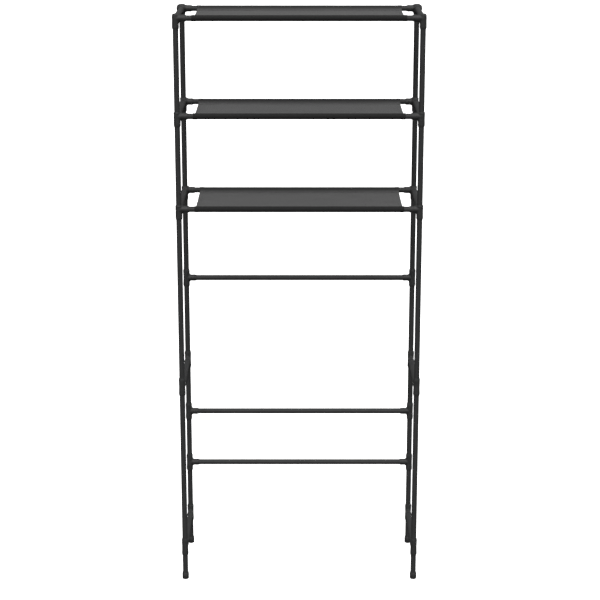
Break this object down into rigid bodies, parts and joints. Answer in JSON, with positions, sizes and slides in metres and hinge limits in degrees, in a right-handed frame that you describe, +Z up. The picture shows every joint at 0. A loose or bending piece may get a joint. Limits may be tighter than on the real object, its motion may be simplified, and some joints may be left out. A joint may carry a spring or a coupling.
{
  "type": "over the toilet storage rack",
  "caption": "Tall free-standing tube rack on foot caps, with an open bay below for a toilet or washer and cloth shelves stretched between rails above.",
  "frame": {"origin": "on the floor, at the middle of the rack's width and depth", "axes": "+Z up, +X to the right as one faces the rack, +Y to the back, towards the wall"},
  "size_m": [0.72, 0.295, 1.7],
  "materials": {
    "tube_paint": "satin dark grey powder coat",
    "connector_plastic": "fine grained moulded dark grey",
    "shelf_cloth": "non-woven cloth, point bonded"
  },
  "bodies": {
    "root": {"bar_tee_high_left": "connector_plastic", "bar_tee_high_right": "connector_plastic", "bar_tee_low_left": "connector_plastic", "bar_tee_low_right": "connector_plastic", "bar_tee_middle_left": "connector_plastic", "bar_tee_middle_right": "connector_plastic", "cloth_lower": "shelf_cloth", "cloth_middle": "shelf_cloth", "cloth_top": "shelf_cloth", "corner_front_left": "connector_plastic", "corner_front_right": "connector_plastic", "corner_rear_left": "connector_plastic", "corner_rear_right": "connector_plastic", "foot_front_left": "connector_plastic", "foot_front_right": "connector_plastic", "foot_rear_left": "connector_plastic", "foot_rear_right": "connector_plastic", "front_post_tubes_1": "tube_paint", "front_post_tubes_2": "tube_paint", "front_post_tubes_3": "tube_paint", "front_post_tubes_4": "tube_paint", "front_post_tubes_5": "tube_paint", "rail_front_lower": "tube_paint", "rail_front_middle": "tube_paint", "rail_front_top": "tube_paint", "rail_rear_lower": "tube_paint", "rail_rear_middle": "tube_paint", "rail_rear_top": "tube_paint", "rear_bar_high": "tube_paint", "rear_bar_low": "tube_paint", "rear_bar_middle": "tube_paint", "rear_post_tubes_1": "tube_paint", "rear_post_tubes_2": "tube_paint", "rear_post_tubes_3": "tube_paint", "rear_post_tubes_4": "tube_paint", "rear_post_tubes_5": "tube_paint", "rear_post_tubes_6": "tube_paint", "rear_post_tubes_7": "tube_paint", "rear_post_tubes_8": "tube_paint", "shelf_joint_lower_front_left": "connector_plastic", "shelf_joint_lower_front_right": "connector_plastic", "shelf_joint_lower_rear_left": "connector_plastic", "shelf_joint_lower_rear_right": "connector_plastic", "shelf_joint_middle_front_left": "connector_plastic", "shelf_joint_middle_front_right": "connector_plastic", "shelf_joint_middle_rear_left": "connector_plastic", "shelf_joint_middle_rear_right": "connector_plastic", "side_tee_low_front_left": "connector_plastic", "side_tee_low_front_right": "connector_plastic", "side_tee_low_rear_left": "connector_plastic", "side_tee_low_rear_right": "connector_plastic", "side_tee_waist_front_left": "connector_plastic", "side_tee_waist_front_right": "connector_plastic", "side_tee_waist_rear_left": "connector_plastic", "side_tee_waist_rear_right": "connector_plastic", "side_tubes_low": "tube_paint", "side_tubes_lower": "tube_paint", "side_tubes_middle": "tube_paint", "side_tubes_top": "tube_paint", "side_tubes_waist": "tube_paint"}
  },
  "joints": []
}
